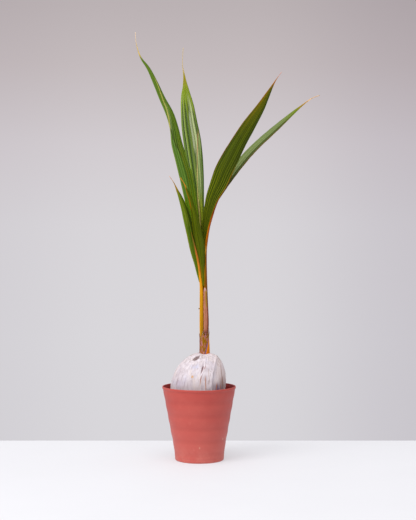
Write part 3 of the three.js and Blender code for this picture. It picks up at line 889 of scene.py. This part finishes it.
def stalk_mesh(rows):
    """A tapering stalk with fine ribs along it, and no fibrous skin inside the torn sheath."""
    sides, steps, ribs = 54, 10, 9
    vertices, heights, places = [], [], []
    for middle, across, depth, half_width, half_depth, height in stations(rows, steps):
        clear = (middle[2] - SHOOT_FOOT[2] - SKIN_START) / SKIN_RAMP
        skin = SKIN * min(1, half_width / 4) * min(1, max(0, clear))
        for angle in full_turn(sides):
            rib = 1 + (0.14 * math.cos(ribs * angle + 3 * height) + skin) / max(half_width, 1.5)
            offset = across * half_width * math.cos(angle) + depth * half_depth * math.sin(angle)
            vertices.append((middle + offset * rib) * MM)
            heights.append(height)
            places.append(math.cos(angle))
    faces = tube_faces(len(vertices) // sides, sides)
    return vertices, faces, {"along": heights, "across": places}


def add_stalk(node, rows, slot, stops, left_edge, right_side_shade):
    """A stalk in a fibrous skin whose colour changes upwards, with a tinted left edge and painted shade down
    its right side.
    """
    finish = Finish(slot)
    along = finish.number("along")
    across = finish.number("across")
    streaks = finish.grain(420, 4, 0.6, 0.05)
    finish.colour = finish.ramp(along, stops)
    left = (1 - across.rising(-1, -0.25)) * (1 - along.rising(0.78, 0.88))
    finish.lay(left * 0.9, *left_edge)
    # Painted shade: the right half of the stalk, away from the lamps, is darkened.
    finish.lay(across.rising(0.25, 0.95) * 0.9, *right_side_shade)
    finish.lay(streaks.rising(0.5, 0.72) * 0.4, 110, 60, 10)
    blotch = finish.grain(48, 5, 0.65, 0.4).rising(0.6, 0.74)
    finish.lay(blotch * 0.35, 110, 58, 20)
    skin = finish.surface(streaks * 0.25 + 0.38, 0.06, streaks, 0.0006, 0.6)
    add_leaf_part(node, "_ribbed", stalk_mesh(rows), skin)


def lobe_mesh(rows, pleats, seed, fold=0.03, thickness=0.55, crown=0.08, ragged=0):
    """A pleated lobe as a thin closed sheet; fold is the pleats' depth over the lobe's width."""
    columns = 6 * pleats + 1
    front, rear, places, heights = [], [], [], []
    for middle, across, depth, width, turn, height in stations(rows, 9):
        swing = math.radians(turn + 2 * noise.noise(Vector((height * 5, seed, 0))))
        side = across * math.cos(swing) + depth * math.sin(swing)
        face = depth * math.cos(swing) - across * math.sin(swing)
        wide = max(width, 1.1)
        for column in range(columns):
            place = 2 * column / (columns - 1) - 1
            tatter = Vector((height * 40, seed, math.copysign(3, place)))
            edge = 1 + ragged * abs(place) * noise.noise(tatter)
            ripple = 0.02 * wide * abs(place) ** 3 * noise.noise(Vector((height * 26, seed + place, 4)))
            pleat = min(1.4, fold * wide) * math.cos(place * math.pi * pleats) * (1 - 0.5 * abs(place) ** 6)
            lift = pleat + ripple - crown * wide * (1 - place * place)
            point = middle + side * (place * wide / 2 * edge) + face * lift
            thin = thickness * (1 - 0.6 * abs(place) ** 4)
            front.append(tuple((point - face * thin / 2) * MM))
            rear.append(tuple((point + face * thin / 2) * MM))
            places.append(place)
            heights.append(height)
    vertices, faces = close_sheet(front, rear, columns)
    return vertices, faces, {"across": places * 2, "along": heights * 2}


def add_leaf_part(node, ending, shape, finish):
    vertices, faces, attributes = shape
    part = add_object(node + ending, vertices, faces, finish, attributes)
    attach(part, "root")
    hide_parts(node)


class Leaf(Finish):
    """A leaf's finish: two greens in long streaks, and marks laid over them by place."""

    def __init__(self, lobe, deep, bright, seed):
        super().__init__(lobe)
        self.lobe = lobe
        self.across = self.number("across")
        self.along = self.number("along")
        self.seed = seed
        self.veins = self.streaks(15, 1.2, 5)
        broad = self.streaks(2.4, 1.3, 0).rising(0.34, 0.64)
        self.colour = self.mixed(broad, rgb(*deep), rgb(*bright))
        self.lay(self.veins.rising(0.52, 0.7) * 0.3, *deep)
        self.lay((1 - self.veins.rising(0.3, 0.45)) * 0.2, 128, 140, 56)
        self.wander = (self.grain(24, 3) - 0.5) * 0.16

    def streaks(self, across, along, shift):
        """Noise drawn out along the lobe, which narrows with it as veins do."""
        parts = {0: self.across * across, 1: self.along * along, 2: self.seed + shift}
        place = self.node("ShaderNodeCombineXYZ", None, parts)
        return self.node("ShaderNodeTexNoise", None, {"Vector": place, "Scale": 1, "Detail": 3})

    def edge(self, side, width):
        """1 on the left (-1) or right (1) margin, up to that share of half the lobe."""
        return (self.across * side + self.wander * width).rising(1 - width, 1 - width * 0.45)

    def strip(self, middle, half):
        """1 on a line that lies at middle across, fading half a share away from it."""
        return 1 - (self.across - middle).size().rising(half * 0.3, half)

    def upward(self, low, high):
        return (self.along + self.wander * 0.3).rising(low, high)

    def grow(self, slot, sheet, gloss=0.06):
        """Adds the lobe with this finish, in place of the solid it is named for."""
        skin = self.surface(self.veins * 0.2 + 0.34, gloss, self.veins, 0.0004, 0.4)
        add_leaf_part(self.lobe, "_pleated", sheet, skin)


amber_stops = [(0, 140, 96, 16), (0.25, 164, 116, 8), (0.5, 196, 138, 10), (0.62, 210, 142, 14),
               (0.7, 190, 112, 34), (0.84, 176, 98, 42), (0.91, 116, 92, 34), (1, 96, 92, 20)]
add_stalk("short_leaf_stalk", SHORT_STALK, "amber_stalk", amber_stops, (208, 148, 18), (154, 100, 8))

corners, sides = pebble((-0.4, -6, 410.5), 3.6, random.Random(2))
nub_skin = speckled("dried_nub", (46, 38, 48), (92, 80, 90), 500, 0.8, 900, 0.0004, 0.6)
nub = add_object("dried_nub", corners, sides, nub_skin)
subdivide = nub.modifiers.new("rounding", "SUBSURF")
subdivide.levels = 2
subdivide.render_levels = 2
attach(nub, "root")

leaf = Leaf("short_leaf_left_lobe", (56, 76, 2), (90, 110, 8), 1)
# Painted light: the lobe's left half, which faces the lamps, is painted lighter.
leaf.lay((1 - leaf.across.rising(-0.9, 0.1)) * 0.6, 100, 128, 34)
leaf.lay(leaf.strip(-0.3, 0.5) * leaf.along.band(0.6, 0.86, 0.1) * 0.6, 122, 134, 34)
# Painted shade: the lobe's right half is darkened as if shaded by the lobe's fold.
leaf.lay(leaf.across.rising(0.1, 0.7) * leaf.along.band(0.15, 0.66, 0.1) * 0.8, 46, 56, 4)
leaf.lay(leaf.edge(-1, 0.16) * (1 - leaf.upward(0.4, 0.7)) * 0.8, 136, 122, 8)
leaf.lay(leaf.edge(-1, 0.2) * leaf.upward(0.5, 0.8) * 0.6, 118, 124, 30)
leaf.lay(leaf.upward(0.82, 0.92), 158, 118, 30)
leaf.lay(leaf.upward(0.93, 0.99), 206, 160, 130)
leaf.grow("leaf_green", lobe_mesh(SHORT_LEFT_LOBE, 4, 0))

leaf = Leaf("short_leaf_right_lobe", (58, 68, 0), (86, 98, 2), 2)
leaf.lay(leaf.across.rising(0.35, 0.7) * 0.6, 50, 62, 0)
lines = leaf.streaks(9, 0.5, 4).rising(0.5, 0.62)
leaf.lay(lines * (1 - leaf.upward(0.35, 0.6)) * 0.6, 104, 108, 22)
leaf.lay(leaf.strip(-0.2, 0.25) * (1 - leaf.upward(0.1, 0.3)) * 0.6, 128, 112, 14)
leaf.lay(leaf.edge(1, 0.3) * (1 - leaf.upward(0.08, 0.22)) * 0.8, 186, 144, 16)
leaf.lay(leaf.edge(-1, 0.7) * leaf.along.band(0.77, 0.95, 0.08) * 0.9, 150, 92, 4)
leaf.lay(leaf.edge(-1, 0.14) * leaf.along.band(0.3, 0.74, 0.1) * 0.5, 118, 96, 6)
leaf.lay(leaf.upward(0.9, 0.95), 210, 134, 32)
leaf.grow("leaf_green", lobe_mesh(SHORT_RIGHT_LOBE, 4, 3.7))


# ---- The right leaf, which arches out to the right ----
# A brown channelled stalk with an amber edge; a broad dark olive lobe faces the front, and a
# narrower one, pale with painted sheen over its green, runs on behind it, seen nearly edge-on.

RIGHT_STALK = [
    (4.8, -2, 0, 4.4, 4.6), (5.8, -2.5, 75, 5, 5), (6, -3, 105, 5.2, 5), (3.6, -4, 199, 3.8, 3.8),
    (3.2, -5, 283, 3.1, 3.1), (7, -5.5, 321, 2.7, 2.7), (13, -6, 355, 2.3, 2.3), (21, -6.5, 383, 2, 2),
    (30, -7.5, 411, 1.8, 1.8), (41, -8.5, 436, 1.6, 1.6), (60, -11, 467, 1.3, 1.3), (75, -14, 496, 0.8, 0.8),
]
RIGHT_NEAR_LOBE = [
    (1, -4.5, 299, 6, 0), (1, -5, 321, 10, -5), (2.5, -6, 353, 16.5, -10), (7.5, -7, 383, 22.5, -12),
    (15, -9, 412, 29.5, -15), (23.5, -11, 439, 37, -15), (39.5, -15, 474, 47.5, -15),
    (54, -20, 509.5, 51, -15), (74, -26, 548, 49, -18), (94, -32, 584.5, 43.5, -20),
    (120, -40, 627, 38, -20), (146, -47, 666.5, 27.5, -20), (164, -53, 698, 16.5, -15),
    (180, -58, 727, 6.5, 0), (192, -61, 747, 2, 0), (206, -64, 766, 1.5, 0),
]
RIGHT_FAR_LOBE = [
    (6.5, -2.2, 336, 5, -20), (12, -0.5, 372, 9, -30), (25, 5, 416, 15, -40), (54, 20, 467, 29, -51),
    (79, 36, 505, 40, -56), (100, 52, 533, 44, -58), (123, 68, 561, 43.5, -59),
    (152, 88, 591, 41, -60), (184, 106, 621, 36.5, -59), (219, 126, 653, 26, -54),
    (249, 142, 680, 14, -45), (275, 155, 702, 5, -20), (305, 168, 725, 2, 0), (330, 178, 736, 1.5, 0),
]

brown_stops = [(0, 128, 64, 34), (0.22, 138, 62, 36), (0.38, 118, 76, 4), (0.56, 138, 86, 4),
               (0.59, 214, 156, 50), (0.62, 172, 98, 8), (0.76, 154, 70, 6), (1, 132, 62, 6)]
add_stalk("right_leaf_stalk", RIGHT_STALK, "brown_stalk", brown_stops, (204, 140, 12), (112, 56, 14))

leaf = Leaf("right_leaf_near_lobe", (50, 60, 1), (68, 80, 3), 3)
lines = leaf.streaks(6, 0.3, 3).rising(0.48, 0.55)
leaf.lay(lines * (1 - leaf.upward(0.34, 0.55)) * 0.9, 102, 112, 4)
# Painted shade: the ground between the light lines is darkened like shaded pleat valleys.
leaf.lay((1 - lines) * (1 - leaf.upward(0.34, 0.55)) * 0.7, 42, 54, 1)
leaf.lay(leaf.streaks(7, 0.4, 21).rising(0.5, 0.6) * leaf.upward(0.34, 0.5) * 0.5, 42, 52, 1)
brown = leaf.upward(0.58, 0.86) * leaf.streaks(4, 1, 7).rising(0.34, 0.56)
leaf.lay(brown * (1 - leaf.across.rising(0.1, 0.8)) * 0.8, 108, 92, 0)
leaf.lay(leaf.edge(1, 0.3) * leaf.upward(0.45, 0.6) * 0.6, 42, 52, 1)
leaf.lay(leaf.edge(1, 0.1) * (1 - leaf.upward(0.3, 0.4)), 142, 64, 6)
leaf.lay(leaf.edge(1, 0.08) * leaf.along.band(0.3, 0.46, 0.06) * 0.7, 124, 78, 12)
leaf.lay(leaf.edge(-1, 0.08) * leaf.upward(0.3, 0.6) * 0.8, 132, 82, 8)
leaf.lay(leaf.edge(-1, 0.5) * leaf.upward(0.78, 0.9) * 0.7, 140, 86, 2)
leaf.lay(leaf.upward(0.9, 0.94), 158, 100, 26)
leaf.lay(leaf.upward(0.955, 0.985), 196, 148, 134)
leaf.grow("leaf_olive", lobe_mesh(RIGHT_NEAR_LOBE, 9, 7.4, 0.018))

# Painted sheen: this lobe's pale grey-green ground and paler streaks lay sheen over the leaf's own green.
leaf = Leaf("right_leaf_far_lobe", (88, 102, 50), (106, 120, 70), 4)
leaf.lay(leaf.streaks(7, 0.4, 3).rising(0.48, 0.58) * 0.6, 124, 136, 92)
leaf.lay(leaf.across.rising(0.5, 0.66) * 0.85, 46, 60, 2)
leaf.lay(leaf.edge(-1, 0.2) * 0.7, 80, 108, 18)
leaf.lay(leaf.edge(1, 0.12) * 0.6, 112, 78, 12)
leaf.lay(leaf.upward(0.76, 0.9) * 0.8, 104, 122, 10)
leaf.lay(leaf.upward(0.88, 0.93), 160, 122, 28)
leaf.lay(leaf.upward(0.93, 0.97), 216, 172, 112)
leaf.grow("leaf_pale", lobe_mesh(RIGHT_FAR_LOBE, 6, 11.1))


# ---- The tall leaf, at the back ----
# A pale stalk hidden behind the others; its left lobe curves out to the highest tip, and its
# centre lobe stands upright with broad glossy pleats and a pale rib that slants across it.

TALL_STALK = [
    (-1.5, 4.8, 0, 6, 4.2), (-2, 5, 120, 6, 4.4), (-5, 4.5, 199, 4.4, 3.6), (-8, 3.6, 264, 3.4, 2.8),
    (-10, 3.4, 324, 2.6, 2.2), (-12, 3.6, 384, 1.7, 1.5), (-15, 4.4, 430, 0.9, 0.9),
]
TALL_LEFT_LOBE = [
    (-9, 0, 224, 7, 0), (-10.5, 0, 269, 13, 0), (-13, -0.5, 307, 18, 5), (-19.5, -0.5, 342, 25, 10),
    (-27, -0.5, 375, 29, 15), (-39, 1, 443, 36, 20), (-49, 6, 494, 39.5, 20), (-62, 12, 539, 36.5, 25),
    (-74, 19, 582, 33.5, 25), (-82, 27, 626, 26.5, 25), (-95, 34, 668, 23.5, 25),
    (-115, 42, 709, 17.5, 20), (-135, 50, 755, 14, 20), (-154, 57, 794, 9.5, 15), (-176, 62, 826, 4, 0),
    (-188, 66, 863, 1.6, 0), (-191, 70, 896, 1.4, 0),
]
TALL_CENTRE_LOBE = [
    (-7, 8.5, 224, 9, 0), (-6.5, 7.5, 294, 15, 0), (-8.2, 7, 361, 18.6, 0), (-12, 8.5, 409, 24, 5),
    (-15, 11, 447, 29.5, 8), (-20, 15, 490, 39, 10), (-26, 20, 540, 46.5, 12), (-33, 25, 593, 49.5, 12),
    (-40, 29, 637, 45.5, 12), (-46, 34, 686, 37, 10), (-50, 37, 716, 27, 5), (-51.5, 38.5, 738, 16.5, 2),
    (-53.5, 41, 756, 9.5, 0), (-55.5, 43, 774, 5, 0), (-60, 46, 805, 1.6, 0), (-58, 52, 850, 1.4, 0),
]

pale_stops = [(0, 128, 86, 44), (0.4, 150, 122, 40), (0.7, 134, 130, 34), (1, 150, 146, 84)]
add_stalk("tall_leaf_stalk", TALL_STALK, "pale_stalk", pale_stops, (136, 70, 30), (110, 64, 30))

leaf = Leaf("tall_leaf_left_lobe", (52, 78, 2), (80, 106, 6), 5)
leaf.lay((1 - leaf.upward(0.25, 0.42)) * 0.7, 98, 132, 0)
fold = leaf.across - leaf.along * 8.1 + 5.86  # right of the line where the lobe rolls over
rolled = 1 - fold.rising(-0.1, 0)
leaf.lay(rolled * leaf.upward(0.6, 0.64) * 0.6, 84, 110, 22)
# Painted sheen: a pale band just right of the line where the lobe rolls over.
leaf.lay(fold.band(0.1, 0.4, 0.2) * leaf.along.band(0.6, 0.68, 0.04) * 0.3, 132, 150, 92)
leaf.lay(fold.band(-0.1, 0.08, 0.1) * leaf.along.band(0.6, 0.79, 0.03) * 0.8, 164, 158, 78)
crease = leaf.across + leaf.along * 9.7 - 4.82  # above the crease that crosses it lower down
low_left = (1 - crease.rising(-0.1, 0)) * (1 - leaf.across.rising(-0.25, 0.1))
leaf.lay(low_left * leaf.along.band(0.34, 0.6, 0.04) * 0.6, 84, 118, 40)
# Painted shade: a dark line along the crease, where the fold lies in shade.
leaf.lay(crease.band(-0.05, 0.06, 0.08) * leaf.along.band(0.5, 0.59, 0.04) * 0.65, 52, 56, 4)
below = leaf.across.rising(-0.1, 0.2) * (1 - leaf.upward(0.48, 0.58))
leaf.lay(leaf.streaks(6, 0.3, 8).rising(0.48, 0.58) * below * 0.7, 106, 104, 4)
# Painted shade: dark lines between the olive ones on the lobe's lower right.
leaf.lay(leaf.streaks(6, 0.3, 17).rising(0.5, 0.6) * below * 0.8, 48, 78, 14)
leaf.lay(leaf.edge(1, 0.25) * leaf.upward(0.45, 0.6) * 0.6, 46, 72, 2)
leaf.lay(leaf.edge(-1, 0.08) * leaf.along.band(0.2, 0.62, 0.05) * 0.5, 136, 138, 36)
leaf.lay(leaf.upward(0.88, 0.905), 186, 160, 84)
leaf.lay(leaf.upward(0.93, 0.98), 206, 180, 148)
leaf.grow("leaf_green", lobe_mesh(TALL_LEFT_LOBE, 6, 14.8), 0.12)

leaf = Leaf("tall_leaf_centre_lobe", (68, 94, 10), (110, 132, 30), 6)
leaf.lay(leaf.upward(0.66, 0.78) * 0.85, 120, 140, 8)
leaf.lay((1 - leaf.upward(0.25, 0.42)) * 0.6, 94, 108, 2)
sheen = leaf.streaks(5, 0.5, 9).rising(0.48, 0.58) * leaf.along.band(0.42, 0.72, 0.1)
leaf.lay(sheen * 0.8, 168, 178, 128)
shade = leaf.streaks(7, 0.4, 14).rising(0.5, 0.56) * leaf.along.band(0.3, 0.72, 0.08)
leaf.lay(shade * 0.9, 38, 62, 0)
# Painted shade and highlight: a dark strip down a pleat valley, then a pale narrow strip where a pleat
# catches the light.
leaf.lay(leaf.strip(0.68, 0.1) * leaf.along.band(0.54, 0.7, 0.04) * 0.8, 44, 68, 0)
leaf.lay(leaf.strip(0.1, 0.12) * leaf.along.band(0.57, 0.68, 0.05) * 0.5, 178, 184, 150)
x, _, z = leaf.axes()
bend = z - 800
rib = x - bend * bend * 0.00024 + 5  # how far a point lies to the right of the slanting pale rib
lower = 1 - z.rising(880, 905)
leaf.lay(rib.band(2, 8, 2) * lower * 0.8, 122, 140, 78)
# Painted light: low down right of the rib the lobe's own yellow-green is brightened to lift the shadow the
# lobes in front cast there.
leaf.lay(rib.band(2, 10, 2) * (1 - z.rising(670, 740)) * 0.8, 146, 158, 8)
vein = leaf.mixed(z.rising(790, 850), rgb(176, 158, 92), rgb(158, 112, 66))
leaf.colour = leaf.mixed(rib.band(-0.6, 0.6, 0.9) * lower * 0.85, leaf.colour, vein)
leaf.lay(leaf.edge(1, 0.14) * 0.8, 60, 84, 6)
leaf.lay(leaf.upward(0.8, 0.87), 140, 128, 6)
leaf.lay(leaf.upward(0.87, 0.92), 186, 164, 112)
leaf.grow("leaf_green", lobe_mesh(TALL_CENTRE_LOBE, 6, 18.5, 0.04), 0.3)


# ---- The dry sheath strip ----
# A long papery strip of an old leaf base, mauve-brown, that clings to the front of the stalks and
# ends in a ragged pale tip.

DRY_SHEATH = [
    (3.2, -9.6, 66, 9.5, 10), (3.8, -9.6, 80, 11, 10), (4, -9.9, 125, 12, 8), (3, -10, 165, 10.2, 5),
    (2.4, -10.2, 183, 7.6, 0), (2.2, -10.4, 188, 5, 0), (1.6, -10.8, 191, 2, 0),
]


def dry_sheath_finish():
    finish = Finish("dry_sheath")
    along = finish.number("along")
    across = finish.number("across")
    streaks = finish.grain(420, 4, 0.6, 0.06)
    cloud = finish.grain(60, 4, 0.6, 0.4)
    finish.colour = finish.mixed(cloud.rising(0.35, 0.65), rgb(166, 106, 78), rgb(186, 128, 106))
    finish.lay(streaks.rising(0.5, 0.7) * 0.5, 126, 74, 50)
    olive = across.rising(-0.1, 0.2) * along.band(0.62, 0.9, 0.08)
    finish.lay(olive * 0.85, 150, 116, 8)
    red_edge = across.rising(0.5, 0.85) * (1 - along.rising(0.85, 0.92)) * 0.8
    finish.lay(red_edge, 124, 48, 34)
    finish.lay((1 - along.rising(0.02, 0.14)) * 0.8, 110, 44, 30)
    finish.lay(along.rising(0.9, 1) * 0.8, 206, 168, 162)
    return finish.surface(0.75, 0.2, streaks, 0.0007, 0.8)


dry_sheet = lobe_mesh(DRY_SHEATH, 3, 40, 0.03, 0.5, 0.12, 0.35)
add_leaf_part("dry_sheath", "_pleated", dry_sheet, dry_sheath_finish())
